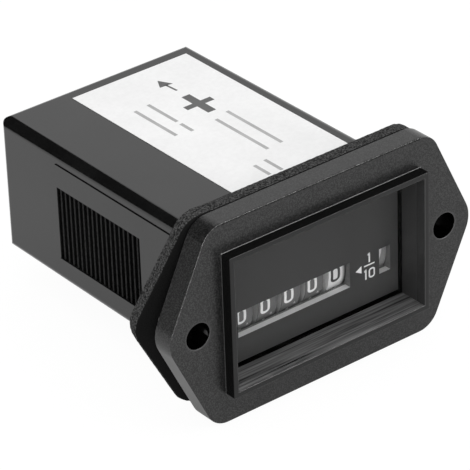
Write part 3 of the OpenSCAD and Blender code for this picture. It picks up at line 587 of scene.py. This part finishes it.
def round_corners(obj, start, radius, margin=0.01):
    """Moves what lies past three rounded edges at once onto a ball."""
    tree = bpy.data.node_groups.new("ball_corner", "GeometryNodeTree")
    for way in ("INPUT", "OUTPUT"):
        tree.interface.new_socket("Geometry", in_out=way, socket_type="NodeSocketGeometry")
    shape = tree.nodes.new("NodeGroupInput").outputs[0]
    centre = tuple(c * MM for c in start)
    place = add(tree, "GeometryNodeInputPosition").outputs[0]
    side = vector_calc(tree, "SIGN", place)
    past = vector_calc(tree, "SUBTRACT", vector_calc(tree, "ABSOLUTE", place), centre)
    parts = add(tree, "ShaderNodeSeparateXYZ", {0: past}).outputs
    least = calc(tree, "MINIMUM", calc(tree, "MINIMUM", parts[0], parts[1]), parts[2])
    chosen = calc(tree, "GREATER_THAN", least, margin * MM)
    aim = vector_calc(tree, "NORMALIZE", past)
    ball = vector_calc(tree, "MULTIPLY_ADD", aim, (radius * MM,) * 3, centre)
    moved = vector_calc(tree, "MULTIPLY", ball, side)
    done = add(tree, "GeometryNodeSetPosition",
               {"Geometry": shape, "Selection": chosen, "Position": moved})
    tree.links.new(done.outputs[0], tree.nodes.new("NodeGroupOutput").inputs[0])
    obj.modifiers.new("ball_corner", "NODES").node_group = tree


soften("bezel", width=0.25, segments=3)
soften("rating_label", width=0.04)
soften("terminal_positive", width=0.1)
soften("terminal_negative", width=0.1)
round_corners(node["case"], CASE_ROUND_FROM, CASE_ROUND_R)

# The lens stands a hair clear of the dial and the bezel, as two separate mouldings do
LENS_CLEAR = 0.05
lens = soften("lens", width=0.08)
shrink = lens.modifiers.new("clear_of_dial", "DISPLACE")
shrink.strength = -LENS_CLEAR * MM
shrink.mid_level = 0


# New pieces

def show(name, data):
    """A new object in the scene."""
    obj = bpy.data.objects.new(name, data)
    bpy.context.scene.collection.objects.link(obj)
    return obj


def to_mesh(name, bm):
    """A mesh from a finished bmesh."""
    mesh = bpy.data.meshes.new(name)
    bm.to_mesh(mesh)
    bm.free()
    return mesh


def new_piece(name, mesh, body, material):
    """An object that rides on a body."""
    mesh.materials.append(material)
    obj = show(name, mesh)
    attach(obj, body)
    return obj


def printed_piece(name, bm, body, material, depth):
    """A film of ink that rides on a body."""
    obj = new_piece(name, to_mesh(name, bm), body, material)
    solid = obj.modifiers.new("ink_depth", "SOLIDIFY")
    solid.thickness = depth * MM
    solid.offset = 0


# Printed marks

def curve_points(cx, cz, rx, rz, start, end, count=18):
    """Points along part of an ellipse, from one angle to another."""
    step = (end - start) / count
    turns = [math.radians(start + i * step) for i in range(count + 1)]
    return [(cx + rx * math.cos(a), cz + rz * math.sin(a)) for a in turns]


def six():
    """The numeral 6, which is also a 9 when turned."""
    return (curve_points(0, 0.25, 0.5, 0.75, 50, 180) + [(-0.5, -0.4)]
            + curve_points(0, -0.42, 0.5, 0.58, 180, 540, 30))


# Numerals on a grid one wide and two high: open strokes, and closed loops
STROKES = {
    0: [curve_points(0, 0.58, 0.5, 0.42, 0, 180) + curve_points(0, -0.58, 0.5, 0.42, 180, 360)
        + [(0.5, 0.58)]],
    1: [[(0.1, 0.8), (0.1, -1)]],
    2: [curve_points(0, 0.48, 0.5, 0.52, 165, -35) + [(-0.5, -1), (0.5, -1)]],
    3: [curve_points(0, 0.5, 0.46, 0.5, 150, -90) + curve_points(0, -0.5, 0.5, 0.5, 90, -150)],
    4: [[(0.22, -1), (0.22, 1), (-0.5, -0.4), (0.5, -0.4)]],
    5: [[(0.42, 1), (-0.36, 1), (-0.42, 0.05)] + curve_points(0, -0.38, 0.5, 0.62, 135, -150)],
    6: [six()],
    7: [[(-0.5, 1), (0.5, 1), (-0.1, -1)]],
    8: [curve_points(0, 0.52, 0.42, 0.48, -90, 270, 30), curve_points(0, -0.48, 0.5, 0.52, 90, 450, 30)],
    9: [[(-u, -v) for u, v in six()]],
}
NUMERAL_TURN = 360 / len(STROKES)
STROKE_STEP = 0.2
SAME_PLACE = 1e-6


def resample(path, step):
    """The same path in even short steps, so that it can bend round a wheel."""
    points = [path[0]]
    for (u0, v0), (u1, v1) in zip(path, path[1:]):
        parts = max(1, math.ceil(math.hypot(u1 - u0, v1 - v0) / step))
        points += [(u0 + (u1 - u0) * i / parts, v0 + (v1 - v0) * i / parts) for i in range(1, parts + 1)]
    return points


def stroke(bm, path, width, to_space):
    """A ribbon of ink along a path."""
    points = resample(path, STROKE_STEP)
    closed = math.dist(points[0], points[-1]) < SAME_PLACE
    last = len(points) - 1
    pairs = []
    for i, (u, v) in enumerate(points):
        before = points[last - 1] if closed and i == 0 else points[max(i - 1, 0)]
        after = points[1] if closed and i == last else points[min(i + 1, last)]
        du, dv = after[0] - before[0], after[1] - before[1]
        length = math.hypot(du, dv) or 1
        side = (-dv / length * width / 2, du / length * width / 2)
        pairs.append([bm.verts.new(to_space(u + s * side[0], v + s * side[1])) for s in (1, -1)])
    for a, b in zip(pairs, pairs[1:]):
        bm.faces.new((a[0], a[1], b[1], b[0]))


def patch(bm, outline, to_space, rows=1):
    """A filled four-sided patch of ink, its corners in order."""
    a, b, c, d = outline
    grid = []
    for i in range(rows + 1):
        t = i / rows
        left = (a[0] + (d[0] - a[0]) * t, a[1] + (d[1] - a[1]) * t)
        right = (b[0] + (c[0] - b[0]) * t, b[1] + (c[1] - b[1]) * t)
        grid.append((bm.verts.new(to_space(*left)), bm.verts.new(to_space(*right))))
    for low, high in zip(grid, grid[1:]):
        bm.faces.new((low[0], low[1], high[1], high[0]))


def round_wheel(x, turn):
    """Maps a flat mark onto the front of a wheel, turned down by an angle."""
    radius = WHEEL_R + WHEEL_INK[0]

    def to_space(u, v):
        a = v / radius - math.radians(turn)
        y = COUNTER_Y - radius * math.cos(a)
        return ((x + u) * MM, y * MM, (COUNTER_Z + radius * math.sin(a)) * MM)
    return to_space


def on_dial(u, v):
    """Maps a flat mark onto the front of the dial."""
    return (u * MM, (DIAL_FRONT - DIAL_INK[0]) * MM, v * MM)


def on_label(u, v):
    """Maps a flat mark onto the top of the label."""
    return (u * MM, v * MM, (LABEL_TOP + LABEL_INK[0]) * MM)


# Numerals round each wheel, with a small pointed mark after each
NUMERAL_W, NUMERAL_HALF, NUMERAL_STROKE, NUMERAL_DROP = 1.3, 1.12, 0.44, 0.2
POINTED_MARK = [(1.08, -2.28), (1.5, -2.28), (1.3, -1.85), (1.28, -1.85)]
for wheel, x in NUMERAL_X.items():
    numerals = bmesh.new()
    marks = bmesh.new()
    for digit, strokes in STROKES.items():
        onto = round_wheel(x, NUMERAL_TURN * digit)
        for path in strokes:
            drawn = [(u * NUMERAL_W, v * NUMERAL_HALF - NUMERAL_DROP) for u, v in path]
            stroke(numerals, drawn, NUMERAL_STROKE, onto)
        patch(marks, POINTED_MARK, onto, rows=2)
    body = "wheel_" + wheel
    numeral_ink = INK_BLACK if wheel == "tenths" else INK_WHITE
    printed_piece("numerals_" + wheel, numerals, body, numeral_ink, WHEEL_INK[1])
    printed_piece("marks_" + wheel, marks, body, INK_MARK, WHEEL_INK[1])

# Tenth sign on the dial: a pointer, then one over ten, each stroke with its width
POINTER = [(9.39, -4.44), (9.39, -4.42), (10.53, -3.8), (10.53, -5.07)]
ZERO = [(12.5 + 0.94 * u, -5.65 + 0.72 * v) for u, v in STROKES[0][0]]
TENTH_SIGN = [
    ([(11.77, -2.47), (12.05, -2.17), (12.05, -3.72)], 0.3),
    ([(11.02, -4.14), (13.05, -4.14)], 0.24),
    ([(11.07, -5.12), (11.35, -4.82), (11.35, -6.48)], 0.3),
    (ZERO, 0.28),
]
dial_print = bmesh.new()
patch(dial_print, POINTER, on_dial)
for path, width in TENTH_SIGN:
    stroke(dial_print, path, width, on_dial)
printed_piece("dial_print", dial_print, "meter", INK_WHITE, DIAL_INK[1])

# Plus sign and arrow on the label
PLUS_X, PLUS_Y = (4.1, 5.9, 7.4, 9.2), (30.0, 32.65, 33.8, 36.5)
ARROW_HEAD = [(5.35, 41.1), (7.65, 40.9), (6.47, 43.1), (6.43, 43.1)]
ARROW_TAIL, ARROW_W = [(6.55, 41.2), (6.75, 38.7)], 0.36
label_print = bmesh.new()
for x0, x1, y0, y1 in ((1, 2, 0, 1), (1, 2, 2, 3), (0, 3, 1, 2)):
    left, right, near, far = PLUS_X[x0], PLUS_X[x1], PLUS_Y[y0], PLUS_Y[y1]
    patch(label_print, [(left, near), (right, near), (right, far), (left, far)], on_label)
patch(label_print, ARROW_HEAD, on_label)
stroke(label_print, ARROW_TAIL, ARROW_W, on_label)
printed_piece("label_marks", label_print, "meter", INK_LABEL, LABEL_INK[1])

# Plain bars in rows on the label: the middle of each in x, and its two ends in y
BARS = [(0.7, 27.1, 30.0), (0.7, 30.9, 38.0), (-2.0, 27.6, 37.7), (8.3, 15.6, 28.5), (5.5, 15.4, 27.6),
        (3.1, 9.2, 13.2), (0.9, 9.3, 12.9)]
BAR_HALF = 0.3
bar_print = bmesh.new()
for x, near, far in BARS:
    left, right = x - BAR_HALF, x + BAR_HALF
    patch(bar_print, [(left, near), (right, near), (right, far), (left, far)], on_label)
printed_piece("label_bars", bar_print, "meter", INK_LINES, LABEL_INK[1])

# Run drum: white drum with broad grey bars between slanting white lines that are seen to move
DRUM_BARS = 5
DRUM_BAR = [(0.86, -2.9), (2.6, -2.9), (2.6, 2.1), (2.08, 2.1)]
drum_bars = bmesh.new()
for i in range(DRUM_BARS):
    patch(drum_bars, DRUM_BAR, round_wheel(DRUM_LEFT, 360 / DRUM_BARS * i), rows=14)
printed_piece("drum_bars", drum_bars, "run_drum", INK_GREY, WHEEL_INK[1])


# Short walls on the back of the dial, round each window, that end just clear of the wheels
WELL_WALL, WELL_CLEAR, WELL_STEPS = 0.35, 0.15, 12


def well_back(z):
    """How far back a wall goes at a height."""
    reach = WHEEL_R + WELL_CLEAR
    return COUNTER_Y - math.sqrt(reach * reach - (z - COUNTER_Z) ** 2)


def add_wall(bm, x_range, z_range, straight_back=None):
    """A wall from the back of the dial to the wheels, or straight back."""
    (x0, x1), (z0, z1) = x_range, z_range
    rings = []
    for i in range(WELL_STEPS + 1):
        z = z0 + (z1 - z0) * i / WELL_STEPS
        end = straight_back or well_back(z)
        ring = ((x0, DIAL_REAR), (x1, DIAL_REAR), (x1, end), (x0, end))
        rings.append([bm.verts.new((x * MM, y * MM, z * MM)) for x, y in ring])
    for a, b in zip(rings, rings[1:]):
        for k in range(4):
            bm.faces.new((a[k], a[(k + 1) % 4], b[(k + 1) % 4], b[k]))
    bm.faces.new(rings[0])
    bm.faces.new(rings[-1])


def make_well(name, window_x, end_wall=None):
    """Walls round a window; an end wall closes the gap beside the run drum."""
    left, right = window_x
    whole = (WINDOW_Z[0] - WELL_WALL, WINDOW_Z[1] + WELL_WALL)
    bm = bmesh.new()
    add_wall(bm, (left - WELL_WALL, left), whole)
    add_wall(bm, (right, end_wall[0] if end_wall else right + WELL_WALL), whole)
    if end_wall:
        add_wall(bm, end_wall, whole, RUN_END_WALL_BACK)
    add_wall(bm, window_x, (whole[0], WINDOW_Z[0]))
    add_wall(bm, window_x, (WINDOW_Z[1], whole[1]))
    bmesh.ops.recalc_face_normals(bm, faces=bm.faces)
    new_piece(name, to_mesh(name, bm), "meter", FINISH["dial_black"])


make_well("counter_window_well", COUNTER_WINDOW_X)
make_well("run_window_well", RUN_WINDOW_X, RUN_END_WALL_X)


# Foam gasket, its left wing curled away from the flange

def foam_loop(steps=10):
    """Outline of the foam, clockwise from its right tip: the flange's, cut short at the lower left."""
    rounds = [(SCREW_X, 0, TIP_R), (CORNER_X, -CORNER_Z, CORNER_R), FOAM_CORNER, FOAM_TIP,
              (-CORNER_X, CORNER_Z, CORNER_R), (CORNER_X, CORNER_Z, CORNER_R)]
    sides = []
    for (ax, az, ar), (bx, bz, br) in zip(rounds, rounds[1:] + rounds[:1]):
        length = math.hypot(bx - ax, bz - az)
        sides.append(math.atan2(bz - az, bx - ax) + math.pi / 2 + math.asin((br - ar) / length))
    points = []
    for i, (cx, cz, r) in enumerate(rounds):
        first, second = sides[i - 1], sides[i]
        while second > first:
            second -= 2 * math.pi
        turns = [first + (second - first) * k / steps for k in range(steps + 1)]
        points += [(cx + r * math.cos(a), cz + r * math.sin(a)) for a in turns]
    return points


def add_loop(curve, points):
    """A closed loop in a flat curve."""
    spline = curve.splines.new("POLY")
    spline.points.add(len(points) - 1)
    for point, (u, v) in zip(spline.points, points):
        point.co = (u * MM, v * MM, 0, 1)
    spline.use_cyclic_u = True


def foam_blank():
    """The foam sheet as it is cut, flat, in an even fine mesh."""
    curve = bpy.data.curves.new("foam_outline", "CURVE")
    curve.dimensions = "2D"
    curve.fill_mode = "BOTH"
    curve.extrude = FOAM_T / 2 * MM
    add_loop(curve, foam_loop())
    w, h = FOAM_OPENING
    add_loop(curve, [(-w, -h), (w, -h), (w, h), (-w, h)])
    last_turn = 360 - 360 / FOAM_HOLE_POINTS
    for side in (-1, 1):
        add_loop(curve, curve_points(side * SCREW_X, 0, FOAM_HOLE_R, FOAM_HOLE_R, 0, last_turn,
                                     FOAM_HOLE_POINTS - 1))
    drawn = show("foam_outline", curve)
    remesh = drawn.modifiers.new("even", "REMESH")
    remesh.mode = "VOXEL"
    remesh.voxel_size = FOAM_VOXEL * MM
    fair = drawn.modifiers.new("fair", "SMOOTH")
    fair.iterations = 4
    shape = bpy.context.evaluated_depsgraph_get()
    mesh = bpy.data.meshes.new_from_object(drawn.evaluated_get(shape))
    bpy.data.objects.remove(drawn)
    mesh.materials.clear()
    return mesh


def foam_set_back(x, z):
    """How far the foam has curled away from the flange at a place on it."""
    past = (BEND_POINT[0] - x) * math.sin(BEND_SLOPE) + (BEND_POINT[1] - z) * math.cos(BEND_SLOPE)
    return BEND_RATE * (past + math.sqrt(past * past + BEND_SOFT * BEND_SOFT)) / 2


def curl_foam(mesh):
    """Lays the flat sheet behind the flange, curls it and ripples it a little."""
    across, along = math.sin(BEND_SLOPE), math.cos(BEND_SLOPE)
    noise.seed_set(RIPPLE_SEED)
    for vertex in mesh.vertices:
        u, v, depth = (c / MM for c in vertex.co)
        back = depth + FOAM_T / 2
        before = foam_set_back(u - across / 2, v - along / 2)
        after = foam_set_back(u + across / 2, v + along / 2)
        rate = before - after
        place = Vector((u + FOAM_SHIFT + rate * back * across,
                        back + foam_set_back(u, v) + FOAM_GAP,
                        v + rate * back * along))
        ripple = noise.noise_vector(place * RIPPLES_PER_MM) * FOAM_RIPPLE
        vertex.co = (place + ripple) * MM


foam = foam_blank()
curl_foam(foam)
foam.shade_smooth()
foam_sheet = new_piece("foam_sheet", foam, "meter", FINISH["foam_gasket"])
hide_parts("gasket")


# Studio: white floor and surround, a dark card for the reflections, two lamps for the edges. A ray after
# its first bounce has a depth of 1, and the lamps give light to none that is deeper than the limit.
LAMP_DEPTH_LIMIT = 1.5


def seen_share(tree, picture, gloss):
    """A share for the rays that show the floor itself: one in the picture, one in a gloss."""
    rays = add(tree, "ShaderNodeLightPath").outputs
    direct = calc(tree, "MAXIMUM", rays["Is Camera Ray"], rays["Is Transmission Ray"])
    seen = calc(tree, "MULTIPLY", direct, picture)
    return calc(tree, "MULTIPLY_ADD", rays["Is Glossy Ray"], gloss, seen)


def make_floor(below=0.05, half_size=6):
    """White floor just below the part; what is left of its own shading keeps the part's shadow."""
    bm = bmesh.new()
    bmesh.ops.create_grid(bm, x_segments=2, y_segments=2, size=half_size)
    floor = show("floor", to_mesh("floor", bm))
    floor.location.z = cad_low[2] - below * MM
    made, tree, shader = new_material("pale_floor", Base_Color=grey(0.85), Roughness=0.9)
    glow = add(tree, "ShaderNodeEmission", {"Color": grey(1), "Strength": 1.03})
    share = seen_share(tree, picture=0.92, gloss=0.55)
    mix = add(tree, "ShaderNodeMixShader", {0: share, 1: shader.outputs[0], 2: glow.outputs[0]})
    tree.links.new(mix.outputs[0], tree.nodes["Material Output"].inputs[0])
    floor.data.materials.append(made)


def make_dark_card(direction, spread, distance):
    """A round dark card that only reflections see; it blackens the rounded edges of the case."""
    bm = bmesh.new()
    bmesh.ops.create_uvsphere(bm, u_segments=48, v_segments=32, radius=distance)
    limit = distance * math.cos(math.radians(spread))
    bmesh.ops.delete(bm, geom=[v for v in bm.verts if v.co.z < limit], context="VERTS")
    card = show("dark_card", to_mesh("dark_card", bm))
    card.rotation_mode = "QUATERNION"
    card.rotation_quaternion = Vector(direction).to_track_quat("Z", "Y")
    black = new_material("card_black", Base_Color=grey(0), Roughness=1, Specular_IOR_Level=0)[0]
    card.data.materials.append(black)
    card.visible_camera = False
    card.visible_diffuse = False
    card.visible_transmission = False
    card.visible_shadow = False


def make_lamp(name, direction, distance, size, radiance):
    """A square soft lamp for the first gloss alone; it draws the bright lines along rounded edges."""
    lamp = bpy.data.lights.new(name, "AREA")
    lamp.shape = "RECTANGLE"
    lamp.size = size
    lamp.size_y = size
    lamp.energy = radiance * math.pi * size * size
    lamp.use_nodes = True
    tree = lamp.node_tree
    depth = add(tree, "ShaderNodeLightPath").outputs["Ray Depth"]
    first = calc(tree, "LESS_THAN", depth, LAMP_DEPTH_LIMIT)
    tree.links.new(first, tree.nodes["Emission"].inputs["Strength"])
    towards = Vector(direction).normalized()
    obj = show(name, lamp)
    obj.location = towards * distance
    obj.rotation_mode = "QUATERNION"
    obj.rotation_quaternion = towards.to_track_quat("Z", "Y")
    obj.visible_diffuse = False
    obj.visible_transmission = False


def make_surround():
    """White all round."""
    world = bpy.data.worlds.new("studio")
    world.use_nodes = True
    background = world.node_tree.nodes["Background"]
    background.inputs["Color"].default_value = grey(1)
    background.inputs["Strength"].default_value = 1
    bpy.context.scene.world = world


make_floor()
make_dark_card(direction=(-0.507, 0.682, 0.527), spread=50, distance=2)
make_lamp("front_softbox", direction=(-0.664, -0.684, 0.176), distance=1, size=0.85, radiance=38)
make_lamp("upper_softbox", direction=(0.527, -0.51, 0.68), distance=1.2, size=1, radiance=30)
make_surround()
bpy.context.scene.view_settings.view_transform = "Standard"

# Camera at the photograph's angle: its turn to the right of +Y, its drop, its roll, and what it aims at
CAMERA_TURN, CAMERA_DROP, CAMERA_ROLL = 37.7218, 30.4661, -2.0503
CAMERA_AIM, CAMERA_DISTANCE = (-6.503, 8.499, 4.665), 486.197
CAMERA_LENS, CAMERA_SENSOR = 258.47, 36
camera_data = bpy.data.cameras.new("camera")
camera_data.sensor_width = CAMERA_SENSOR
camera_data.lens = CAMERA_LENS
camera_data.clip_start = 0.01
camera = show("camera", camera_data)
swing = (Matrix.Rotation(math.radians(-CAMERA_TURN), 4, "Z")
         @ Matrix.Rotation(math.radians(90 - CAMERA_DROP), 4, "X")
         @ Matrix.Rotation(math.radians(CAMERA_ROLL), 4, "Z"))
step_back = Matrix.Translation((0, 0, CAMERA_DISTANCE * MM))
camera.matrix_world = Matrix.Translation(Vector(CAMERA_AIM) * MM) @ swing @ step_back
bpy.context.scene.camera = camera
